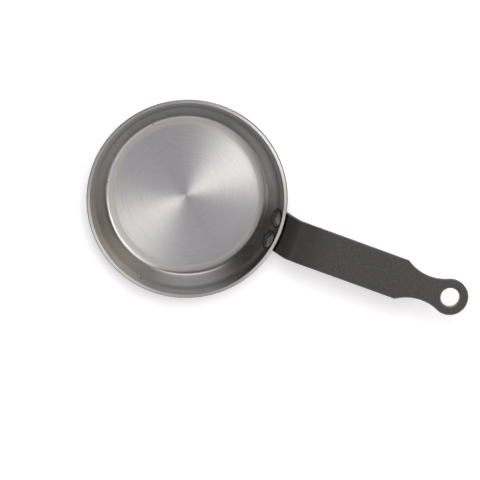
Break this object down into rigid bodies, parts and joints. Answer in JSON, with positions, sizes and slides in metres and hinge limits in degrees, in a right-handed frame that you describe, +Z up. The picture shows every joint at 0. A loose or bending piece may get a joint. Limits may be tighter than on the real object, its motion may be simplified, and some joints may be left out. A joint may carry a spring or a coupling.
{
  "type": "blini pan",
  "caption": "Small round steel pan with a flared wall and a riveted strip handle that bends up over the rim and ends in a ring with a hanging hole.",
  "frame": {"origin": "centre of the base, where the pan stands on the hob", "axes": "+X along the handle away from the pan, +Y to the left of the handle, +Z up out of the pan's mouth"},
  "size_m": [0.2373, 0.12, 0.0378],
  "materials": {
    "pan_steel": "bare steel, circular brushed floor, satin wall and ground rim",
    "handle_steel": "dark warm grey coated steel with a fine grain",
    "rivet_steel": "dark peened steel"
  },
  "bodies": {
    "root": {"pan_body": "pan_steel", "handle": "handle_steel", "rivet_left": "rivet_steel", "rivet_right": "rivet_steel"}
  },
  "joints": []
}
